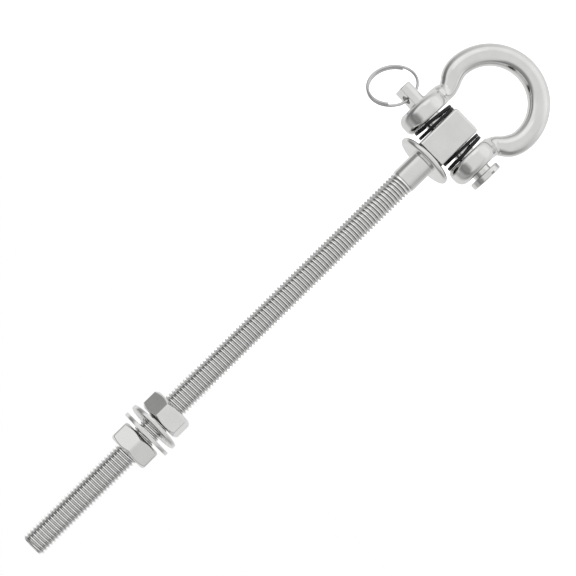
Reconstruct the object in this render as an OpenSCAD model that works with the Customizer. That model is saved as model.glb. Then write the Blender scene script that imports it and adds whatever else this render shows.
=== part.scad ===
// Through-bolt swing hanger: a long threaded rod with a flange, a swivel block that
// turns under the flange, and a bow shackle on a clevis pin held by a split ring.
// It is drawn as it hangs: +Z runs up the rod, and the shackle hangs below.
// The origin is on the rod's axis, at the face of the flange that meets the beam.

/* [Rod] */
// Nominal diameter of the thread
thread_d = 10; // [8:0.5:10]
// Length from the flange's beam face to the free end
rod_l = 210.8; // [190:0.2:260]
// Diameter of the plain shank next to the flange
shank_d = 10.6; // [10:0.1:12]
// Length of the plain shank above the flange
shank_l = 11.4; // [6:0.2:20]
// Chamfer on the free end
rod_chamfer = 0.9; // [0.5:0.1:1.5]

/* [Flange] */
// Diameter of the flange
flange_d = 24; // [20:0.5:24]
// Thickness of the flange
flange_t = 2.4; // [2:0.1:2.6]

/* [Swivel block] */
// Width of the block along the pin
block_w = 12.4; // [11.6:0.1:12.4]
// Depth of the block from front to back
block_d = 20; // [16:0.5:21]
// Height of the block along the rod
block_h = 20; // [19:0.5:21]
// Height from the pin's axis up to the top of the block
block_above_pin = 11.9; // [11.5:0.1:12.1]
// Radius of the block's upright edges
block_edge_r = 1; // [0.5:0.1:2]

/* [Shackle] */
// Diameter of the bow's bar
bow_bar_d = 9; // [8.6:0.1:9.6]
// Radius of the bow, to the middle of the bar
bow_r = 19.2; // [18.8:0.1:20]
// Distance from the pin's axis to the bow's centre
bow_drop = 22; // [21.6:0.1:24]
// Diameter of each ear
ear_d = 21; // [20:0.2:21.4]
// Thickness of each ear
ear_t = 7.8; // [7.4:0.1:8]
// Clear width between the ears, at the pin
ear_gap = 20.4; // [20.4:0.1:20.8]
// Sideways lean of the bow against the rod, in degrees
bow_lean = 5.5; // [0:0.5:6]
// Outward splay of each ear's outer face, in degrees
ear_splay = 2.5; // [0:0.5:2.5]

/* [Pin and split ring] */
// Diameter of the clevis pin
pin_d = 8; // [7.6:0.1:8]
// Diameter of the pin's head
head_d = 13.6; // [12:0.2:15]
// Thickness of the pin's head
head_t = 2.7; // [2.2:0.1:3]
// Distance across the two flats at the pin's end
tab_t = 5; // [4.6:0.1:5.4]
// Turn of the pin about its own axis, in degrees
pin_turn = 13.5; // [0:0.5:30]
// Tilt of the pin in its loose bores, in degrees
pin_tilt = 1.3; // [0:0.1:1.3]
// Outside diameter of the split ring
ring_d = 21.2; // [20.4:0.1:22]
// Swing of the split ring from straight out, in degrees
ring_swing = 31.5; // [0:0.5:45]

/* [Washers and nuts] */
// Outside diameter of the nylon washers
nylon_d = 18; // [16:0.2:18]
// Thickness of the nylon washers
nylon_t = 1.2; // [1:0.1:1.2]
// Outside diameter of the steel washers
washer_d = 22; // [20:0.5:22]
// Thickness of the steel washers
washer_t = 1.5; // [1.4:0.1:2]
// Width of the nuts across their flats
nut_af = 17; // [16:0.5:17.5]
// Height of the nuts
nut_h = 8.4; // [7.5:0.1:8.4]
// Height of the outer nut's lower face above the flange
outer_nut_z = 152.7; // [151.5:0.1:160]
// Height of the inner nut's upper face above the flange
inner_nut_z = 144.3; // [120:0.1:144.3]

/* [Hidden] */
$fn = 96;
steel = "silver";
nylon = "dimgray";
through = 1;

// Heights, measured down from the flange's beam face
swivel_gap = 0.6;
block_top = -(flange_t + swivel_gap);
pin_z = block_top - block_above_pin;
block_base = block_top - block_h;
block_play = 0.25;

// The swivel joint inside the block
neck_d = 6.5;
gland_d = 9.6;
gland_l = 3.4;
thrust_ring_t = 0.6;
head_gap = 0.05;
rod_head_d = 9;
rod_head_t = 2.5;
rod_head_z = block_top - gland_l - thrust_ring_t - head_gap;
pocket_end = 0.25;
swivel_play = 0.05;
neck_play = 0.1;
thrust_washer_d = 11.4;

// The shackle's ears and necks. Each leg starts a little below the pin, inside its ear, and
// the ears are drawn thicker inward by a lap that the gap cuts off.
ear_rim_r = 2.8;
ear_lean = 1;
ear_lap = 1.2;
ear_x = (ear_gap + ear_t - ear_lap) / 2;
ear_play = 0.2;
shoulder_r = 11;
neck_r = 5;
neck_bar_d = 7.2;
taper_l = 3;
leg_top = 3;
neck_turn = 38;
gap_r = 10.8;
knot_swell = 0.03;

// The clevis pin
pin_head_x = -19.9;
pin_round_x = 18.4;
pin_tip_x = 26.7;
ring_hole_x = 21.9;
ring_hole_d = 3.7;
slot_w = 1.5;
slot_h = 1;

// The split ring, whose two coils lie side by side and rest a little past the hole's middle
coil_d = 1.2;
coil_pitch = 1.1;
ring_mean_r = (ring_d - coil_d) / 2;
wire_rest = 0.55;
ring_reach = ring_mean_r - wire_rest;

// Places along the pin and tilts of the four loose nylon washers, from -X to +X
nylon_bore = 8.8;
nylon_x = [-8.93, -7.05, 7.05, 8.93];
nylon_tilt = [-3.8, 0, 0, 3.8];

// The washers on the rod
washer_bore = 10.6;
outer_washer_z = 150.7;
inner_washer_z = 146.8;
inner_washer_tilt = 6.5;
inner_nut_turn = 43.1;
outer_nut_turn = 30;
nut_chamfer_rise = 30;
nut_face_inset = 0.2;
thread_clear = 0.08;

// A flat ring on the Z axis, with its lower face at z
module z_ring(z, h, outer, inner) {
    translate([0, 0, z]) difference() {
        cylinder(d = outer, h = h);
        translate([0, 0, -through]) cylinder(d = inner, h = h + 2 * through);
    }
}

// Rod: thread, plain shank, neck, and the head that turns inside the block
module threaded_rod() {
    color(steel) union() {
        translate([0, 0, rod_l - rod_chamfer])
            cylinder(d1 = thread_d, d2 = thread_d - 2 * rod_chamfer, h = rod_chamfer);
        translate([0, 0, shank_l]) cylinder(d = thread_d, h = rod_l - rod_chamfer - shank_l);
        translate([0, 0, -flange_t]) cylinder(d = shank_d, h = flange_t + shank_l);
        translate([0, 0, rod_head_z]) cylinder(d = neck_d, h = -rod_head_z);
        translate([0, 0, rod_head_z - rod_head_t]) cylinder(d = rod_head_d, h = rod_head_t);
    }
}

// Flange: a disc with a rounded rim, welded around the foot of the shank
module flange() {
    rim_r = flange_t / 2;
    color(steel) difference() {
        translate([0, 0, -rim_r]) rotate_extrude() {
            translate([0, -rim_r]) square([flange_d / 2 - rim_r, flange_t]);
            translate([flange_d / 2 - rim_r, 0]) circle(r = rim_r);
        }
        translate([0, 0, -flange_t - through]) cylinder(d = shank_d, h = flange_t + 2 * through);
    }
}

// Washer that the block turns against, under the flange
module thrust_washer() {
    color(nylon) z_ring(block_top, swivel_gap - swivel_play, thrust_washer_d, neck_d + 2 * neck_play);
}

// Gland screwed into the block's top, which holds the rod's head
module gland_nut() {
    color(steel) z_ring(block_top - gland_l, gland_l - swivel_play, gland_d, neck_d + 2 * neck_play);
}

// Ring between the gland and the rod's head
module thrust_ring() {
    color(nylon) z_ring(block_top - gland_l - thrust_ring_t, thrust_ring_t,
                        gland_d - 2 * neck_play, neck_d + 2 * neck_play);
}

// Plan of the block, with rounded upright edges
module block_plan() {
    square([block_w - 2 * block_edge_r, block_d], center = true);
    square([block_w, block_d - 2 * block_edge_r], center = true);
    for (x = [-1, 1], y = [-1, 1])
        translate([x * (block_w / 2 - block_edge_r), y * (block_d / 2 - block_edge_r)])
            circle(r = block_edge_r);
}

// Block: holds the gland and the rod's head from above, and the clevis pin across
module swivel_block() {
    pocket_z = rod_head_z - rod_head_t - pocket_end;
    color(steel) difference() {
        translate([0, 0, block_base]) linear_extrude(block_h) block_plan();
        translate([0, 0, pocket_z]) cylinder(d = gland_d, h = through - pocket_z);
        translate([0, 0, pin_z]) rotate([0, 90, 0])
            cylinder(d = pin_d + 2 * block_play, h = 2 * block_w, center = true);
    }
}

// Places its children on the pin as it lies, with X along it
module on_pin() {
    translate([0, 0, pin_z]) rotate([0, pin_tilt, 0]) rotate([pin_turn, 0, 0]) children();
}

// Places its children on the pin's middle, with Z along the pin
module along_pin() {
    translate([0, 0, pin_z]) rotate([0, 90 + pin_tilt, 0]) children();
}

// Ear: a round disc with a rounded rim, thick enough for the gap to be cut square into it
module ear() {
    full_t = ear_t + ear_lap;
    flat = full_t / 2 - ear_rim_r;
    rotate([0, 90, 0]) rotate_extrude() {
        translate([0, -full_t / 2]) square([ear_d / 2 - ear_rim_r, full_t]);
        translate([0, -flat]) square([ear_d / 2, 2 * flat]);
        for (side = [-1, 1]) translate([ear_d / 2 - ear_rim_r, side * flat]) circle(r = ear_rim_r);
    }
}

// Part of a ring of round bar in the XZ plane, from angle a0 through a further a
module bent_bar(r, d, a0, a) {
    rotate([90, 0, 0]) rotate([0, 0, a0]) rotate_extrude(angle = a) translate([r, 0]) circle(d = d);
}

// Ball that ties two lengths of bar together where they meet end to end
module bar_knot(x, z, d) {
    translate([x, 0, z]) sphere(d = d + 2 * knot_swell);
}

// One side of the bow: leg, neck, taper and shoulder, up to the widest place
module bow_side() {
    shoulder_x = bow_r - shoulder_r;
    taper_x = shoulder_x + shoulder_r * cos(neck_turn);
    taper_z = -bow_drop + shoulder_r * sin(neck_turn);
    bend_x = taper_x - taper_l * sin(neck_turn);
    bend_z = taper_z + taper_l * cos(neck_turn);
    neck_x = bend_x + neck_r * cos(neck_turn);
    neck_z = bend_z + neck_r * sin(neck_turn);
    translate([neck_x - neck_r, 0, neck_z]) cylinder(d = neck_bar_d, h = -neck_z - leg_top);
    bar_knot(neck_x - neck_r, neck_z, neck_bar_d);
    translate([neck_x, 0, neck_z]) bent_bar(neck_r, neck_bar_d, 180, neck_turn);
    bar_knot(bend_x, bend_z, neck_bar_d);
    translate([taper_x, 0, taper_z]) rotate([0, -neck_turn, 0])
        cylinder(d1 = bow_bar_d, d2 = neck_bar_d, h = taper_l);
    bar_knot(taper_x, taper_z, bow_bar_d);
    translate([shoulder_x, 0, -bow_drop]) bent_bar(shoulder_r, bow_bar_d, 0, neck_turn);
    bar_knot(bow_r, -bow_drop, bow_bar_d);
}

// Tilt of the ear on one side, +1 or -1, as both ears lean and splay
function ear_tilt(side) = ear_lean + side * ear_splay;

// Shackle: the bow leans, its two ears splay a little, and its gap and bores follow the pin
module shackle_bow() {
    color(steel) difference() {
        translate([0, 0, pin_z]) union() {
            rotate([0, bow_lean, 0]) {
                translate([0, 0, -bow_drop]) bent_bar(bow_r, bow_bar_d, 180, 180);
                for (side = [0, 1]) mirror([side, 0, 0]) bow_side();
            }
            for (side = [-1, 1])
                translate([side * ear_x, 0, 0]) rotate([0, ear_tilt(side), 0]) ear();
        }
        along_pin() {
            cylinder(r = gap_r, h = ear_gap, center = true);
            cylinder(d = pin_d + 2 * ear_play, h = 2 * ear_gap, center = true);
        }
    }
}

// Clevis pin: slotted head, round shank, and an end milled to two flats for the ring
module shackle_pin() {
    tab_l = pin_tip_x - pin_round_x;
    color(steel) on_pin() difference() {
        rotate([0, 90, 0]) union() {
            translate([0, 0, pin_head_x - head_t]) cylinder(d = head_d, h = head_t);
            translate([0, 0, pin_head_x]) cylinder(d = pin_d, h = pin_tip_x - pin_head_x);
        }
        for (side = [0, 1]) mirror([0, 0, side])
            translate([pin_round_x, -pin_d, tab_t / 2]) cube([tab_l + through, 2 * pin_d, pin_d]);
        translate([ring_hole_x, 0, -pin_d]) cylinder(d = ring_hole_d, h = 2 * pin_d);
        translate([pin_head_x - head_t - through, -head_d, -slot_w / 2])
            cube([slot_h + through, 2 * head_d, slot_w]);
    }
}

// Split ring: two coils side by side, through the hole in the pin's end
module split_ring() {
    color(steel) on_pin() translate([ring_hole_x, 0, 0]) rotate([0, 0, ring_swing])
        translate([ring_reach, 0, 0]) rotate([90, 0, 0]) rotate_extrude()
            for (side = [-1, 1]) translate([ring_mean_r, side * coil_pitch / 2]) circle(d = coil_d);
}

// Loose nylon washer on the pin
module nylon_washer(i) {
    color(nylon) along_pin() translate([0, 0, nylon_x[i]]) rotate([0, nylon_tilt[i], 0]) difference() {
        cylinder(d = nylon_d, h = nylon_t, center = true);
        cylinder(d = nylon_bore, h = nylon_t + through, center = true);
    }
}

// Hexagon nut with its corners chamfered on both faces
module nut(z, turn) {
    corner_r = nut_af / sqrt(3);
    face_r = nut_af / 2 - nut_face_inset;
    cone_h = nut_h / 2;
    rise = cone_h / tan(nut_chamfer_rise);
    translate([0, 0, z]) rotate([0, 0, turn]) difference() {
        intersection() {
            cylinder(r = corner_r, h = nut_h, $fn = 6);
            union() {
                translate([0, 0, cone_h]) cylinder(r1 = face_r + rise, r2 = face_r, h = cone_h);
                cylinder(r1 = face_r, r2 = face_r + rise, h = cone_h);
            }
        }
        translate([0, 0, -through]) cylinder(d = thread_d + 2 * thread_clear, h = nut_h + 2 * through);
    }
}

// Plain washer on the rod, centred at z and tilted toward the front
module rod_washer(z, tilt) {
    translate([0, 0, z]) rotate([tilt, 0, 0]) difference() {
        cylinder(d = washer_d, h = washer_t, center = true);
        cylinder(d = washer_bore, h = washer_t + through, center = true);
    }
}

module inner_nut() { color(steel) nut(inner_nut_z - nut_h, inner_nut_turn); }
module inner_washer() { color(steel) rod_washer(inner_washer_z, inner_washer_tilt); }
module outer_washer() { color(steel) rod_washer(outer_washer_z, 0); }
module outer_nut() { color(steel) nut(outer_nut_z, outer_nut_turn); }

threaded_rod();
flange();
thrust_washer();
gland_nut();
thrust_ring();
swivel_block();
shackle_bow();
shackle_pin();
split_ring();
nylon_washer(0);  // nylon_washer_1
nylon_washer(1);  // nylon_washer_2
nylon_washer(2);  // nylon_washer_3
nylon_washer(3);  // nylon_washer_4
inner_nut();
inner_washer();
outer_washer();
outer_nut();
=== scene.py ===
"""Looks of a through-bolt swing hanger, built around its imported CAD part.

The row frame is used throughout: +Z up the rod, +X along the clevis pin. Shapes are worked
out in millimetres, and add_object makes metres of them. The studio is in metres.
"""

import math

import bmesh
import bpy
from mathutils import Matrix, Vector


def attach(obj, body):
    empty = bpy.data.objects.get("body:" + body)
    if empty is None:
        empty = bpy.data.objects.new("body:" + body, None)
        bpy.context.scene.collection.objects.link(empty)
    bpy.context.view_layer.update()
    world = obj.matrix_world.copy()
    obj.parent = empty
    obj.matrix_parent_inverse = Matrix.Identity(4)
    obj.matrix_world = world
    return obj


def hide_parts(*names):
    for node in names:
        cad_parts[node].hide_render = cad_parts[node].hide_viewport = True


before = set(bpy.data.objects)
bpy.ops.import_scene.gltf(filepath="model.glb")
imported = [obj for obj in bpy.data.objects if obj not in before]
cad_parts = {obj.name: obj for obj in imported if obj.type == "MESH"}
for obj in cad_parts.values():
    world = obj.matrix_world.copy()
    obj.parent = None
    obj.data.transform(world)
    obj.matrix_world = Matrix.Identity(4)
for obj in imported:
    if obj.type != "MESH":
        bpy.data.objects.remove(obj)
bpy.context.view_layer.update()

MM = 0.001
QUARTER = math.radians(90)


# ---------------------------------------------------------------- mesh helpers


def smooth_by_angle(obj, sharp_deg=35.0):
    """Smooth shading that keeps edges sharper than the angle."""
    for poly in obj.data.polygons:
        poly.use_smooth = True
    obj.data.set_sharp_from_angle(angle=math.radians(sharp_deg))


def add_object(name, verts, faces, sharp_deg=35.0):
    """A shown mesh object from vertices in millimetres, smooth but for its sharp edges."""
    mesh = bpy.data.meshes.new(name)
    mesh.from_pydata([tuple(c * MM for c in v) for v in verts], [], faces)
    clean = bmesh.new()
    clean.from_mesh(mesh)
    bmesh.ops.remove_doubles(clean, verts=clean.verts, dist=1e-7)
    bmesh.ops.recalc_face_normals(clean, faces=clean.faces)
    clean.to_mesh(mesh)
    clean.free()
    obj = bpy.data.objects.new(name, mesh)
    bpy.context.scene.collection.objects.link(obj)
    smooth_by_angle(obj, sharp_deg)
    return obj


def ease(part):
    """Smooth step from 0 to 1, and level beyond both."""
    part = min(1.0, max(0.0, part))
    return part * part * (3 - 2 * part)


def full_turn(count):
    """Angles that share out a full turn, in radians."""
    return [2 * math.pi * i / count for i in range(count)]


def polar(radius, angle, height=0.0):
    """Point at a radius and an angle about Z."""
    return Vector((radius * math.cos(angle), radius * math.sin(angle), height))


def arc(cx, cy, r, a0, a1, steps):
    """Points of an arc in a plane, with its ends, angles in degrees."""
    found = []
    for i in range(steps + 1):
        a = math.radians(a0 + (a1 - a0) * i / steps)
        found.append((cx + r * math.cos(a), cy + r * math.sin(a)))
    return found


def drum(radius, low, high):
    """Outline of a plain cylinder between two heights."""
    return [(0, low), (radius, low), (radius, high), (0, high)]


def ring_mesh(rings, closed_along=False):
    """Verts and faces that join rings of equal length; open ends are capped."""
    verts = [v for ring in rings for v in ring]
    n, count = len(rings[0]), len(rings)
    faces = []
    for k in range(count if closed_along else count - 1):
        a, b = k * n, ((k + 1) % count) * n
        faces += [(a + i, a + (i + 1) % n, b + (i + 1) % n, b + i) for i in range(n)]
    if not closed_along:
        faces.append(tuple(range(n))[::-1])
        faces.append(tuple((count - 1) * n + i for i in range(n)))
    return verts, faces


def lathe(name, outline, segments=96, closed=False, place=None, sharp_deg=35.0):
    """Turns an outline of (radius, height) about Z; closed outlines make a ring."""
    rings = [[polar(radius, a, height) for a in full_turn(segments)] for radius, height in outline]
    if place is not None:
        rings = [[place @ v for v in ring] for ring in rings]
    return add_object(name, *ring_mesh(rings, closed), sharp_deg)


def sweep(name, path, sizes, segments=40, across=Vector((0, 1, 0))):
    """A tube along a flat path. sizes holds its half width in and out of the plane."""
    rings = []
    last = len(path) - 1
    for k, point in enumerate(path):
        along = (path[min(k + 1, last)] - path[max(k - 1, 0)]).normalized()
        inward = along.cross(across).normalized()
        half_in, half_out = sizes[k]
        rings.append([point + inward * half_in * math.cos(a) + across * half_out * math.sin(a)
                      for a in full_turn(segments)])
    return add_object(name, *ring_mesh(rings))


def box_mesh(name, size, centre, bevel=0.0, steps=3, place=None):
    """A box, with rounded edges where bevel is given."""
    made = bmesh.new()
    bmesh.ops.create_cube(made, size=1.0)
    bmesh.ops.scale(made, vec=Vector(size), verts=made.verts)
    if bevel:
        bmesh.ops.bevel(made, geom=made.edges[:], offset=bevel, segments=steps,
                        profile=0.5, affect="EDGES")
    bmesh.ops.translate(made, vec=Vector(centre), verts=made.verts)
    verts = [v.co.copy() for v in made.verts]
    faces = [tuple(v.index for v in f.verts) for f in made.faces]
    made.free()
    if place is not None:
        verts = [place @ v for v in verts]
    return add_object(name, verts, faces)


def bake(obj):
    """Makes an object's modifiers part of its mesh."""
    graph = bpy.context.evaluated_depsgraph_get()
    made = bpy.data.meshes.new_from_object(obj.evaluated_get(graph))
    obj.modifiers.clear()
    obj.data = made


def join_solid(obj, tool, how="DIFFERENCE"):
    """Cuts obj with tool, or adds them up, for good, and removes tool."""
    step = obj.modifiers.new(how, "BOOLEAN")
    step.operation = how
    step.solver = "EXACT"
    step.object = tool
    bake(obj)
    bpy.data.objects.remove(tool)
    clean = bmesh.new()
    clean.from_mesh(obj.data)
    bmesh.ops.remove_doubles(clean, verts=clean.verts, dist=1e-6)
    bmesh.ops.dissolve_degenerate(clean, edges=clean.edges, dist=1e-6)
    clean.to_mesh(obj.data)
    clean.free()


def melt(obj, grain, rounds):
    """Remakes a solid on a fine grid and relaxes it, so its joints run into each other."""
    grid = obj.modifiers.new("grid", "REMESH")
    grid.mode = "VOXEL"
    grid.voxel_size = grain * MM
    relax = obj.modifiers.new("relax", "SMOOTH")
    relax.factor = 0.5
    relax.iterations = rounds
    bake(obj)


def soften(obj, width, angle_deg=40.0, steps=2):
    """Small rounding on every edge sharper than the angle."""
    step = obj.modifiers.new("soft_edges", "BEVEL")
    step.width = width * MM
    step.segments = steps
    step.limit_method = "ANGLE"
    step.angle_limit = math.radians(angle_deg)
    step.use_clamp_overlap = True
    step.harden_normals = False


def place_at(where, *turns):
    """Frame at a place, turned by an angle about an axis for each pair that is given."""
    place = Matrix.Translation(where)
    for angle, axis in turns:
        place = place @ Matrix.Rotation(angle, 4, axis)
    return place


# ------------------------------------------------------------------- materials


def noise(nodes, links, scale, detail):
    """Noise that stays with its object, as a value."""
    coords = nodes.new("ShaderNodeTexCoord")
    cloud = nodes.new("ShaderNodeTexNoise")
    cloud.inputs["Scale"].default_value = scale
    cloud.inputs["Detail"].default_value = detail
    links.new(coords.outputs["Object"], cloud.inputs["Vector"])
    return cloud.outputs["Fac"]


def map_range(nodes, links, source, low, high, start=0.0, end=1.0):
    """Turns a value between start and end into one between low and high."""
    level = nodes.new("ShaderNodeMapRange")
    level.inputs["From Min"].default_value = start
    level.inputs["From Max"].default_value = end
    level.inputs["To Min"].default_value = low
    level.inputs["To Max"].default_value = high
    links.new(source, level.inputs["Value"])
    return level.outputs["Result"]


def uneven(name, rough, wear, scale, detail, tones):
    """Material whose roughness and tone follow one noise. tones holds (mark, colour) pairs."""
    mat = bpy.data.materials.new(name)
    mat.use_nodes = True
    nodes, links = mat.node_tree.nodes, mat.node_tree.links
    shader = nodes["Principled BSDF"]
    cloud = noise(nodes, links, scale, detail)
    level = map_range(nodes, links, cloud, rough - wear, rough + wear)
    links.new(level, shader.inputs["Roughness"])
    ramp = nodes.new("ShaderNodeValToRGB")
    for element, (mark, colour) in zip(ramp.color_ramp.elements, tones):
        element.position = mark
        element.color = [*colour, 1]
    links.new(cloud, ramp.inputs["Fac"])
    links.new(ramp.outputs["Color"], shader.inputs["Base Color"])
    return mat


def metal(name, colour, rough, wear, scale, scratch=0.0):
    """Bare metal with slightly darker patches; scratch adds fine marks as bumps."""
    patch_tone, finer, mark_depth = 0.93, 14, 0.00005
    patch = [c * patch_tone for c in colour]
    mat = uneven(name, rough, wear, scale, 5.0, [(0.3, patch), (0.7, colour)])
    nodes, links = mat.node_tree.nodes, mat.node_tree.links
    shader = nodes["Principled BSDF"]
    shader.inputs["Metallic"].default_value = 1.0
    if scratch:
        bump = nodes.new("ShaderNodeBump")
        bump.inputs["Strength"].default_value = scratch
        bump.inputs["Distance"].default_value = mark_depth
        links.new(noise(nodes, links, scale * finer, 3.0), bump.inputs["Height"])
        links.new(bump.outputs["Normal"], shader.inputs["Normal"])
    return mat


def plastic(name, colour, rough, wear, scale):
    """Matte plastic with slightly uneven tone and gloss."""
    dark = [c * 0.8 for c in colour]
    light = [min(1, c * 1.25) for c in colour]
    mat = uneven(name, rough, wear, scale, 4.0, [(0.0, dark), (1.0, light)])
    mat.node_tree.nodes["Principled BSDF"].inputs["Specular IOR Level"].default_value = 0.25
    return mat


def paint_thread_light_and_shade(mat, root_r, crest_r):
    """Paints light and shade into a metal's colour: a painted highlight out toward the thread's
    crest, painted shade toward its roots, painted shade on flanks that face up and painted light on
    flanks that face down.
    """
    root_tone, crest_tone = 1.1, 1.6
    down_tone, up_tone, steep = 1.3, 0.4, 0.8
    nodes, links = mat.node_tree.nodes, mat.node_tree.links
    shader = nodes["Principled BSDF"]
    tone = shader.inputs["Base Color"].links[0].from_socket
    coords = nodes.new("ShaderNodeTexCoord")
    flat = nodes.new("ShaderNodeVectorMath")
    flat.operation = "MULTIPLY"
    flat.inputs[1].default_value = (1, 1, 0)
    links.new(coords.outputs["Object"], flat.inputs[0])
    reach = nodes.new("ShaderNodeVectorMath")
    reach.operation = "LENGTH"
    links.new(flat.outputs["Vector"], reach.inputs[0])
    # Painted highlight toward the crest, painted shade toward the root.
    depth = map_range(nodes, links, reach.outputs["Value"], root_tone, crest_tone,
                      root_r * MM, crest_r * MM)
    facing = nodes.new("ShaderNodeNewGeometry")
    split = nodes.new("ShaderNodeSeparateXYZ")
    links.new(facing.outputs["Normal"], split.inputs["Vector"])
    # Painted shade on flanks that face up, painted light on flanks that face down.
    flank_painted_light = map_range(nodes, links, split.outputs["Z"], down_tone, up_tone, -steep, steep)
    both = nodes.new("ShaderNodeMath")
    both.operation = "MULTIPLY"
    links.new(depth, both.inputs[0])
    links.new(flank_painted_light, both.inputs[1])
    shaded = nodes.new("ShaderNodeVectorMath")
    shaded.operation = "SCALE"
    links.new(tone, shaded.inputs[0])
    links.new(both.outputs["Value"], shaded.inputs["Scale"])
    links.new(shaded.outputs["Vector"], shader.inputs["Base Color"])


THREAD_R = 5.0
ROOT_R = 4.12

POLISHED = metal("polished_steel", (0.80, 0.80, 0.79), 0.13, 0.04, 160, scratch=0.06)
THREAD = metal("threaded_steel", (0.76, 0.76, 0.75), 0.13, 0.04, 220)
# The thread's colour carries painted highlights on its crests and painted shade in its roots and on
# its up-facing flanks.
paint_thread_light_and_shade(THREAD, ROOT_R, THREAD_R)
SATIN = metal("satin_steel", (0.82, 0.82, 0.81), 0.2, 0.05, 180, scratch=0.08)
SPRING = metal("spring_steel", (0.64, 0.64, 0.64), 0.18, 0.05, 260)
NYLON = plastic("black_nylon", (0.012, 0.012, 0.013), 0.5, 0.08, 300)
BEARING = plastic("bearing_plastic", (0.75, 0.74, 0.70), 0.45, 0.05, 300)


def finish_piece(obj, mat, body, slot, *nodes):
    """Gives a made piece its material and its body, and hides the CAD nodes it stands for; slot is
    not used.
    """
    obj.data.materials.clear()
    obj.data.materials.append(mat)
    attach(obj, body)
    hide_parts(*nodes)


# ------------------------------------------------------------ threaded rod and flange

# The thread's flat crest and root are shares of its pitch.
PITCH = 1.5
CREST, ROOT = 0.24, 0.2
FLANK = (1 - CREST - ROOT) / 2
RUNOUT_GAP, RUNOUT_L = 0.2, 2.0
ROD_L, END_R = 210.8, 4.1
SHANK_R, SHANK_L = 5.3, 11.4
THREAD_FROM = SHANK_L - 0.6
FLANGE_R, FLANGE_T = 12, 2.4
NECK_R = 3.25
ROD_HEAD_R, ROD_HEAD_TOP, ROD_HEAD_BASE = 4.5, -7.05, -9.55


def thread_radius(z, turned):
    """Radius of the thread at a height and angle, with its chamfered and run-out ends."""
    phase = (z / PITCH - turned / (2 * math.pi)) % 1.0
    if phase < CREST:
        depth = 0.0
    elif phase < CREST + FLANK:
        depth = (phase - CREST) / FLANK
    elif phase < CREST + FLANK + ROOT:
        depth = 1.0
    else:
        depth = 1 - (phase - CREST - FLANK - ROOT) / FLANK
    runout = min(1.0, max(0.0, (z - SHANK_L - RUNOUT_GAP) / RUNOUT_L))
    radius = THREAD_R - depth * (THREAD_R - ROOT_R) * runout
    return min(radius, END_R + ROD_L - z)


def build_thread():
    """The thread as one spiral grid, with its rows on the profile's corners, and two caps."""
    around = 48
    width = around + 1
    marks = [0.0, CREST, CREST + FLANK, CREST + FLANK + ROOT]
    turns = int((ROD_L - THREAD_FROM) / PITCH) + 3
    start = math.floor(THREAD_FROM / PITCH) - 1
    verts = []
    for turn in range(start, start + turns):
        for mark in marks:
            for i in range(width):
                a = 2 * math.pi * i / around
                z = min(max((turn + mark) * PITCH + PITCH * i / around, THREAD_FROM), ROD_L)
                verts.append(polar(thread_radius(z, a), a, z))
    faces = []
    for k in range(turns * len(marks) - 1):
        for i in range(around):
            a, b = k * width + i, (k + 1) * width + i
            quad = (a, a + 1, b + 1, b)
            corners = {tuple(round(c, 6) for c in verts[q]) for q in quad}
            if len(corners) > 2:
                faces.append(quad)
    for z, step in ((THREAD_FROM, -1), (ROD_L, 1)):
        first = len(verts)
        verts += [polar(thread_radius(z, a), a, z) for a in full_turn(around)]
        faces.append(tuple(range(first, first + around))[::step])
    thread = add_object("rod_thread", verts, faces, sharp_deg=25)
    finish_piece(thread, THREAD, "rod", "polished_steel", "threaded_rod")


def build_shank():
    """The rod's turned end: head and neck inside the block, foot, shank and rounded shoulder."""
    shank = lathe("rod_shank", [
        (0.0, ROD_HEAD_BASE), (ROD_HEAD_R - 0.3, ROD_HEAD_BASE),
        (ROD_HEAD_R, ROD_HEAD_BASE + 0.3), (ROD_HEAD_R, ROD_HEAD_TOP - 0.25),
        (ROD_HEAD_R - 0.2, ROD_HEAD_TOP), (NECK_R, ROD_HEAD_TOP), (NECK_R, -FLANGE_T),
        (SHANK_R, -FLANGE_T), (SHANK_R, 0.0), (SHANK_R + 0.25, 0.0), (SHANK_R + 0.08, 0.12),
        (SHANK_R, 0.35), (SHANK_R, SHANK_L - 1.1), (SHANK_R - 0.08, SHANK_L - 0.65),
        (SHANK_R - 0.35, SHANK_L), (SHANK_R - 0.9, SHANK_L + 0.35), (0.0, SHANK_L + 0.35),
    ])
    finish_piece(shank, POLISHED, "rod", "polished_steel", "threaded_rod")


def build_flange():
    """A flat disc with a fully rounded rim."""
    rim_r = FLANGE_T / 2
    mid_r, flat_r = 7.0, FLANGE_R - rim_r - 0.9
    rim = arc(FLANGE_R - rim_r, -rim_r, rim_r, 90, -90, 14)
    outline = [(SHANK_R, 0.0), (mid_r, 0.0), (flat_r, 0.0), *rim, (flat_r, -FLANGE_T),
               (SHANK_R, -FLANGE_T)]
    flange = lathe("flange_disc", outline, segments=128, closed=True)
    finish_piece(flange, POLISHED, "rod", "polished_steel", "flange")


# ----------------------------------------------------------- the pin's own frames

PIN_Z = -14.9
PIN_R = 4.0
PIN_TURN = math.radians(13.5)
PIN_TILT = math.radians(1.3)


def to_x():
    """Places a lathe's axis along +X at the pin's middle."""
    return place_at((0, 0, PIN_Z), (QUARTER, "Y"))


def along_pin():
    """Places a lathe's axis along the pin, which lies a little tilted in its bores."""
    return place_at((0, 0, PIN_Z), (QUARTER + PIN_TILT, "Y"))


def on_pin():
    """Frame of the pin as it lies, with X along it and Z along the ring's hole."""
    return place_at((0, 0, PIN_Z), (PIN_TILT, "Y"), (PIN_TURN, "X"))


# ----------------------------------------------------------------- swivel block

BLOCK_W, BLOCK_D = 12.4, 20
BLOCK_TOP, BLOCK_BASE = -3, -23
BLOCK_EDGE_R = 1.2
BLOCK_BORE_R = PIN_R + 0.25
GLAND_R, POCKET_Z = 4.8, -9.8


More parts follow.
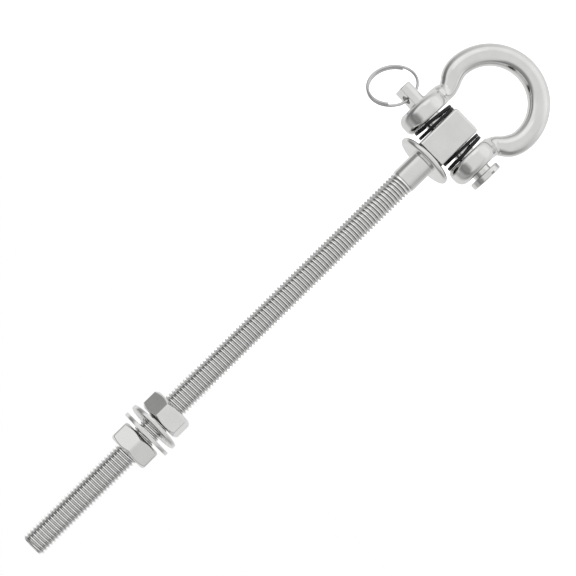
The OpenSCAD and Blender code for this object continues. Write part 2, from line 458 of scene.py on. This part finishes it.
def build_block():
    """The block, rounded but for its trimmed top, with its cross bore and the gland's pocket."""
    spare, trim_h = 4, 10
    tall = BLOCK_TOP + spare - BLOCK_BASE
    block = box_mesh("block_body", (BLOCK_W, BLOCK_D, tall), (0, 0, BLOCK_BASE + tall / 2),
                     BLOCK_EDGE_R, steps=5)
    join_solid(block, box_mesh("trim_tool", (20, 30, trim_h), (0, 0, BLOCK_TOP + trim_h / 2)))
    join_solid(block, lathe("bore_tool", drum(BLOCK_BORE_R, -8, 8), place=to_x()))
    join_solid(block, lathe("pocket_tool", drum(GLAND_R, POCKET_Z, BLOCK_TOP + 1)))
    smooth_by_angle(block, 32)
    finish_piece(block, POLISHED, "swivel", "polished_steel", "swivel_block")


# --------------------------------------------------------------------- shackle

# The bow's centre line, measured from the pin
BOW_R, BOW_DROP = 19.2, 22.0
BOW_LEAN = math.radians(5.5)
SHOULDER_R, BEND_R, TAPER_L = 11, 5, 3
NECK_TURN = math.radians(38)
LEG_TOP = -3.0

# Half widths of the bar, in and out of the bow's plane, and what the flare adds to them
BAR_R = 4.5
NECK_IN, NECK_OUT = 3.5, 3.6
FLARE_IN, FLARE_OUT = 0.4, 2.0

# Height where the neck begins to flare on its way up, and the heights where the bar begins
# to swell and to lean on its way down, each with the length that it takes
FLARE_FROM, FLARE_L = -12.6, 3.1
SWELL_FROM, SWELL_L = -10.0, 8.0
LEAN_FROM, LEAN_L = -6.0, 9.0

EAR_X, EAR_R, EAR_HALF_T = 13.5, 10.5, 4.5
EAR_RIM_R, EAR_FACE_R = 3.6, 5.0
EAR_LEAN, EAR_SPLAY = 1, 2.5
GAP_HALF, GAP_R = 10.2, 11.3
GAP_SLANT = Vector((2.5, 1.3))
EAR_BORE_R = PIN_R + 0.2


def flare(point):
    """How far the neck has opened out toward its ear, from 0 to 1."""
    return min(1.0, max(0.0, (point.z - FLARE_FROM) / FLARE_L))


def bar_size(point):
    """Half widths of the bar: flared at the ear, pinched at the neck, full round in the bow."""
    grow = ease((SWELL_FROM - point.z) / SWELL_L)
    wide = flare(point) ** 2
    return (NECK_IN + FLARE_IN * wide + (BAR_R - NECK_IN) * grow,
            NECK_OUT + FLARE_OUT * wide + (BAR_R - NECK_OUT) * grow)


def lean_share(point):
    """How much of the bow's lean a place takes: none at the ears, all of it below the necks."""
    return ease((LEAN_FROM - point.z) / LEAN_L)


def in_plane(radius, angle):
    """Step of a radius at an angle in the bow's plane."""
    return Vector((radius * math.cos(angle), 0, radius * math.sin(angle)))


def bow_path():
    """Centre line of one side of the bow, from the ear down."""
    shoulder = Vector((BOW_R - SHOULDER_R, 0, -BOW_DROP))
    taper = shoulder + in_plane(SHOULDER_R, NECK_TURN)
    bend = taper + in_plane(TAPER_L, NECK_TURN + QUARTER)
    neck = bend + in_plane(BEND_R, NECK_TURN)
    leg_x, leg_l = neck.x - BEND_R, neck.z - LEG_TOP
    points = [Vector((leg_x, 0, LEG_TOP + leg_l * i / 12)) for i in range(12)]
    points += [neck + in_plane(BEND_R, math.pi + NECK_TURN * i / 12) for i in range(13)]
    points += [bend.lerp(taper, i / 4) for i in (1, 2, 3)]
    points += [shoulder + in_plane(SHOULDER_R, NECK_TURN * (1 - i / 14)) for i in range(15)]
    middle = Vector((0, 0, -BOW_DROP))
    points += [middle + in_plane(BOW_R, -QUARTER * i / 32) for i in range(1, 33)]
    return [p + Vector((FLARE_IN * flare(p) ** 2, 0, 0)) for p in points]


def build_shackle():
    """The bow swept as one bar, two turned ears that splay, and the gap and bore cut square."""
    half = bow_path()
    path = half + [Vector((-p.x, 0, p.z)) for p in half[-2::-1]]
    leant = [place_at((0, 0, PIN_Z), (BOW_LEAN * lean_share(p), "Y")) @ p for p in path]
    bow = sweep("shackle_bar", leant, [bar_size(p) for p in path], segments=64)
    rim_x, rim_z = EAR_R - EAR_RIM_R, EAR_HALF_T - EAR_RIM_R
    outline = [(0, EAR_HALF_T), (EAR_FACE_R, EAR_HALF_T),
               *arc(rim_x, rim_z, EAR_RIM_R, 90, 0, 14),
               *arc(rim_x, -rim_z, EAR_RIM_R, 0, -90, 14),
               (EAR_FACE_R, -EAR_HALF_T), (0, -EAR_HALF_T)]
    for side in (1, -1):
        tilt = math.radians(EAR_LEAN + side * EAR_SPLAY)
        place = place_at((side * EAR_X, 0, PIN_Z), (tilt, "Y"), (QUARTER, "Y"))
        join_solid(bow, lathe("ear_tool", outline, place=place), "UNION")
    slant_r, slant_x = GAP_R + GAP_SLANT.x, GAP_HALF - GAP_SLANT.y
    gap = [(0, -GAP_HALF), (GAP_R, -GAP_HALF), (slant_r, -slant_x), (slant_r, slant_x),
           (GAP_R, GAP_HALF), (0, GAP_HALF)]
    join_solid(bow, lathe("gap_tool", gap, segments=128, place=along_pin()))
    melt(bow, 0.3, 8)
    join_solid(bow, lathe("bore_tool", drum(EAR_BORE_R, -25, 25), place=along_pin()))
    smooth_by_angle(bow, 30)
    finish_piece(bow, POLISHED, "shackle", "polished_steel", "shackle_bow")


# --------------------------------------------------------------- pin and ring

PIN_HEAD_R, PIN_HEAD_T, PIN_HEAD_X = 6.8, 2.7, -19.9
PIN_TIP_X = 26.7
TAB_X, TAB_HALF_T = 18.4, 2.5
SLOT_W, SLOT_DEPTH = 1.5, 1
HOLE_X, HOLE_R = 21.9, 1.85


def build_pin():
    """Clevis pin: thin slotted head, round shank, and an end milled to two flats."""
    face_x = PIN_HEAD_X - PIN_HEAD_T
    outline = [
        (0, face_x), (PIN_HEAD_R - 0.4, face_x), (PIN_HEAD_R, face_x + 0.4),
        (PIN_HEAD_R, PIN_HEAD_X - 0.35), (PIN_HEAD_R - 0.35, PIN_HEAD_X), (PIN_R, PIN_HEAD_X),
        (PIN_R, PIN_TIP_X - 0.4), (PIN_R - 0.4, PIN_TIP_X), (0, PIN_TIP_X),
    ]
    pin = lathe("clevis_pin", outline, place=on_pin() @ Matrix.Rotation(QUARTER, 4, "Y"))
    wide, deep = 12, 4
    for side in (1, -1):
        centre = (TAB_X + wide / 2, 0, side * (TAB_HALF_T + deep / 2))
        join_solid(pin, box_mesh("flat_tool", (wide, wide, deep), centre, place=on_pin()))
    slot = (2 * SLOT_DEPTH, 20, SLOT_W)
    join_solid(pin, box_mesh("slot_tool", slot, (face_x, 0, 0), place=on_pin()))
    place = on_pin() @ Matrix.Translation((HOLE_X, 0, 0))
    join_solid(pin, lathe("hole_tool", drum(HOLE_R, -5, 5), segments=48, place=place))
    soften(pin, 0.18)
    smooth_by_angle(pin, 30)
    finish_piece(pin, POLISHED, "pin", "polished_steel", "shackle_pin")


def build_ring():
    """One wire wound almost twice, with a short crossing where its coils swap sides."""
    mean_r, rise, reach, swing_deg = 10.0, 1.12, 9.45, 31.5
    wire_r, wire_flatness = 0.58, 0.94
    place = (on_pin() @ Matrix.Translation((HOLE_X, 0, 0))
             @ Matrix.Rotation(math.radians(swing_deg), 4, "Z")
             @ Matrix.Translation((reach, 0, 0)) @ Matrix.Rotation(QUARTER, 4, "X"))
    begin_deg, cross_deg, end_deg, cross_span_deg = 288, 166, 122, 38
    begin = math.radians(begin_deg)
    crossing = math.radians(cross_span_deg)
    before = math.radians(360 + cross_deg - begin_deg - cross_span_deg / 2)
    span = math.radians(720 + end_deg - begin_deg)
    steps, around = 220, 14
    rings = []
    for k in range(steps + 1):
        wound = span * k / steps
        level = rise * (ease((wound - before) / crossing) - 0.5)
        out = polar(1, begin + wound)
        centre = out * mean_r + Vector((0, 0, level))
        rings.append([
            place @ (centre + out * wire_r * math.cos(b)
                     + Vector((0, 0, wire_r * wire_flatness * math.sin(b))))
            for b in full_turn(around)
        ])
    wire = add_object("ring_wire", *ring_mesh(rings), sharp_deg=40)
    finish_piece(wire, SPRING, "ring", "spring_steel", "split_ring")


# ------------------------------------------------------------ washers and nuts


def washer_outline(bore_r, outer_r, thick, edge):
    """Closed outline of a flat ring, bevelled at its bore and rounder at its rim."""
    h = thick / 2
    part = edge * 0.3
    return [
        (bore_r, -h + edge), (bore_r + edge, -h), (outer_r - edge, -h),
        (outer_r - part, -h + part), (outer_r, -h + edge), (outer_r, h - edge),
        (outer_r - part, h - part), (outer_r - edge, h), (bore_r + edge, h), (bore_r, h - edge),
    ]


def build_nylon():
    """Four loose black washers on the pin, two to a side, which gape toward the rod."""
    outline = washer_outline(bore_r=4.4, outer_r=9.0, thick=1.2, edge=0.15)
    places = ((-8.93, -3.8), (-7.05, 0), (7.05, 0), (8.93, 3.8))
    for number, (x, tilt) in enumerate(places, 1):
        place = (along_pin() @ Matrix.Translation((0, 0, x))
                 @ Matrix.Rotation(math.radians(tilt), 4, "Y"))
        washer = lathe(f"nylon_{number}_disc", outline, segments=80, closed=True, place=place)
        finish_piece(washer, NYLON, f"nylon_{number}", "black_nylon", f"nylon_washer_{number}")


def build_rod_washers():
    """Two plain steel washers on the rod."""
    outline = washer_outline(bore_r=5.3, outer_r=11.0, thick=1.5, edge=0.2)
    for name, z, tilt in (("outer_washer", 150.7, 0), ("inner_washer", 146.8, 6.5)):
        place = place_at((0, 0, z), (math.radians(tilt), "X"))
        washer = lathe(name + "_disc", outline, segments=112, closed=True, place=place)
        finish_piece(washer, SATIN, name, "satin_steel", name)


def build_nut(name, z, turn_deg):
    """Hexagon nut as one closed grid, sloped at both faces and countersunk at its hole."""
    flat_r, corner_r, face_r, height, slope = 8.5, 9.72, 7.7, 8.4, 0.62
    bore_r, sink_r, sink = 5.08, 5.65, 0.6
    place = place_at((0, 0, z), (math.radians(turn_deg), "Z"))
    columns = []
    for a in full_turn(144):
        off = math.radians((math.degrees(a) + 60) % 60 - 30)
        side_r = min(flat_r / math.cos(off), corner_r)
        wide = side_r - face_r
        low = [(sink_r, 0.0)] + [(face_r + wide * i / 5, wide * slope * i / 5) for i in range(6)]
        high = [(r, height - h) for r, h in low[::-1]]
        bore = [(bore_r, height - sink), (bore_r, sink)]
        columns.append([place @ polar(r, a, h) for r, h in low + high + bore])
    nut = add_object(name + "_hex", *ring_mesh(list(zip(*columns)), closed_along=True), sharp_deg=24)
    soften(nut, 0.28, angle_deg=20, steps=3)
    finish_piece(nut, SATIN, name, "satin_steel", name)


# ------------------------------------------------------------------ the object

build_thread()
build_shank()
build_flange()
build_block()
build_shackle()
build_pin()
build_ring()
build_nylon()
build_rod_washers()
build_nut("outer_nut", 152.7, 30)
build_nut("inner_nut", 135.9, 43.1)

for node, mat in (("gland_nut", SATIN), ("thrust_ring", BEARING), ("thrust_washer", BEARING)):
    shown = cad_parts[node]
    shown.data.materials.clear()
    shown.data.materials.append(mat)


# -------------------------------------------------------------- studio and camera

# Colour sockets of Blender's mix node, whose sockets share their names
MIX_A, MIX_B, MIX_RESULT = 6, 7, 2


def add_floor():
    """Plain pale floor, well below the hanging object, which reflections don't see."""
    made = bpy.data.meshes.new("studio_floor")
    half, z = 6.0, -0.14
    made.from_pydata([(-half, -half, z), (half, -half, z), (half, half, z), (-half, half, z)],
                     [], [(0, 1, 2, 3)])
    floor = bpy.data.objects.new("studio_floor", made)
    bpy.context.scene.collection.objects.link(floor)
    mat = bpy.data.materials.new("studio_floor")
    mat.use_nodes = True
    shader = mat.node_tree.nodes["Principled BSDF"]
    shader.inputs["Base Color"].default_value = (0.93, 0.93, 0.93, 1)
    shader.inputs["Roughness"].default_value = 0.9
    shader.inputs["Emission Color"].default_value = (1, 1, 1, 1)
    shader.inputs["Emission Strength"].default_value = 0.9
    made.materials.append(mat)
    floor.visible_glossy = False


def grey_ramp(nodes, links, source, stops):
    """A ramp of greys over one part of a direction, which runs from -1 to 1."""
    ramp = nodes.new("ShaderNodeValToRGB")
    while len(ramp.color_ramp.elements) < len(stops):
        ramp.color_ramp.elements.new(0.5)
    for element, (part, grey) in zip(ramp.color_ramp.elements, stops):
        element.position = (part + 1) / 2
        element.color = (grey, grey, grey, 1)
    links.new(map_range(nodes, links, source, 0.0, 1.0, -1.0, 1.0), ramp.inputs["Fac"])
    return ramp.outputs["Color"]


def combine(nodes, links, how, first, second, factor=None):
    """Mixes two greys by a blend type, wholly or by a factor."""
    mix = nodes.new("ShaderNodeMix")
    mix.data_type = "RGBA"
    mix.blend_type = how
    mix.inputs["Factor"].default_value = 1.0
    if factor is not None:
        links.new(factor, mix.inputs["Factor"])
    links.new(first, mix.inputs[MIX_A])
    links.new(second, mix.inputs[MIX_B])
    return mix.outputs[MIX_RESULT]


def add_world():
    """White to the camera; reflections see greys, darker at the sides and in front overhead."""
    world = bpy.data.worlds.new("studio")
    bpy.context.scene.world = world
    world.use_nodes = True
    nodes, links = world.node_tree.nodes, world.node_tree.links
    nodes.clear()
    coords = nodes.new("ShaderNodeTexCoord")
    split = nodes.new("ShaderNodeSeparateXYZ")
    links.new(coords.outputs["Generated"], split.inputs["Vector"])
    x, y, z = (split.outputs[axis] for axis in "XYZ")
    front_to_back = grey_ramp(nodes, links, y, [(-1, 0.82), (-0.4, 0.82), (0.3, 0.84), (0.6, 0.8)])
    across = grey_ramp(nodes, links, x, [(-1, 0.82), (-0.6, 1.0), (0.5, 1.0), (0.9, 1.2)])
    front_to_back = combine(nodes, links, "MULTIPLY", front_to_back, across)
    side_weight = grey_ramp(nodes, links, y, [(-0.45, 0), (-0.2, 1), (0.3, 1), (0.6, 0)])
    by_height = grey_ramp(nodes, links, z,
                          [(-1, 0.95), (-0.5, 0.9), (0.0, 0.5), (0.5, 0.3), (1, 0.5)])
    by_side = grey_ramp(nodes, links, x, [(-1, 1.0), (0.2, 0.9), (1, 0.62)])
    sides = combine(nodes, links, "MULTIPLY", by_height, by_side)
    around = combine(nodes, links, "MIX", front_to_back, sides, side_weight)
    overhead = grey_ramp(nodes, links, z,
                         [(-1, 1.2), (-0.7, 1.2), (-0.45, 1.0), (0.5, 1.0), (0.75, 0.35)])
    in_front = grey_ramp(nodes, links, y, [(-1, 1), (-0.3, 1), (-0.05, 0)])
    mirrored = nodes.new("ShaderNodeBackground")
    links.new(combine(nodes, links, "MULTIPLY", around, overhead, in_front),
              mirrored.inputs["Color"])
    seen = nodes.new("ShaderNodeBackground")
    seen.inputs["Color"].default_value = (1, 1, 1, 1)
    ray = nodes.new("ShaderNodeLightPath")
    mix = nodes.new("ShaderNodeMixShader")
    links.new(ray.outputs["Is Camera Ray"], mix.inputs["Fac"])
    links.new(mirrored.outputs["Background"], mix.inputs[1])
    links.new(seen.outputs["Background"], mix.inputs[2])
    out = nodes.new("ShaderNodeOutputWorld")
    links.new(mix.outputs["Shader"], out.inputs["Surface"])


def add_light(name, where, size, power, target=(0, 0, 0.06)):
    """Soft area light that faces the target."""
    data = bpy.data.lights.new(name, "AREA")
    data.shape = "DISK"
    data.size = size
    data.energy = power
    light = bpy.data.objects.new(name, data)
    light.location = where
    light.rotation_mode = "QUATERNION"
    light.rotation_quaternion = (Vector(target) - Vector(where)).to_track_quat("-Z", "Y")
    bpy.context.scene.collection.objects.link(light)


def add_camera():
    """Camera a little above the front, rolled so the rod runs down to the left."""
    aim = Vector((0.00187, 0.0, 0.0724))
    elevation = math.radians(6.6)
    roll = math.radians(45.5)
    distance = 0.676
    back = Vector((0, -math.cos(elevation), math.sin(elevation)))
    level_up = back.cross(Vector((1, 0, 0))).normalized()
    right = Vector((-math.cos(roll), 0, 0)) - math.sin(roll) * level_up
    right.normalize()
    up = back.cross(right).normalized()
    data = bpy.data.cameras.new("camera")
    data.sensor_width = 36.0
    data.lens = 109.0
    data.clip_start = 0.01
    data.clip_end = 50.0
    camera = bpy.data.objects.new("camera", data)
    turn = Matrix((right, up, back)).transposed()
    camera.matrix_world = Matrix.Translation(aim + back * distance) @ turn.to_4x4()
    bpy.context.scene.collection.objects.link(camera)
    bpy.context.scene.camera = camera


add_floor()
add_world()
# A faint light low on the +X side. Only reflections see it, because the floor is in its way.
add_light("key_light", (0.45, -0.60, -0.30), 0.5, 0.12)
add_camera()
bpy.context.scene.view_settings.view_transform = "Standard"
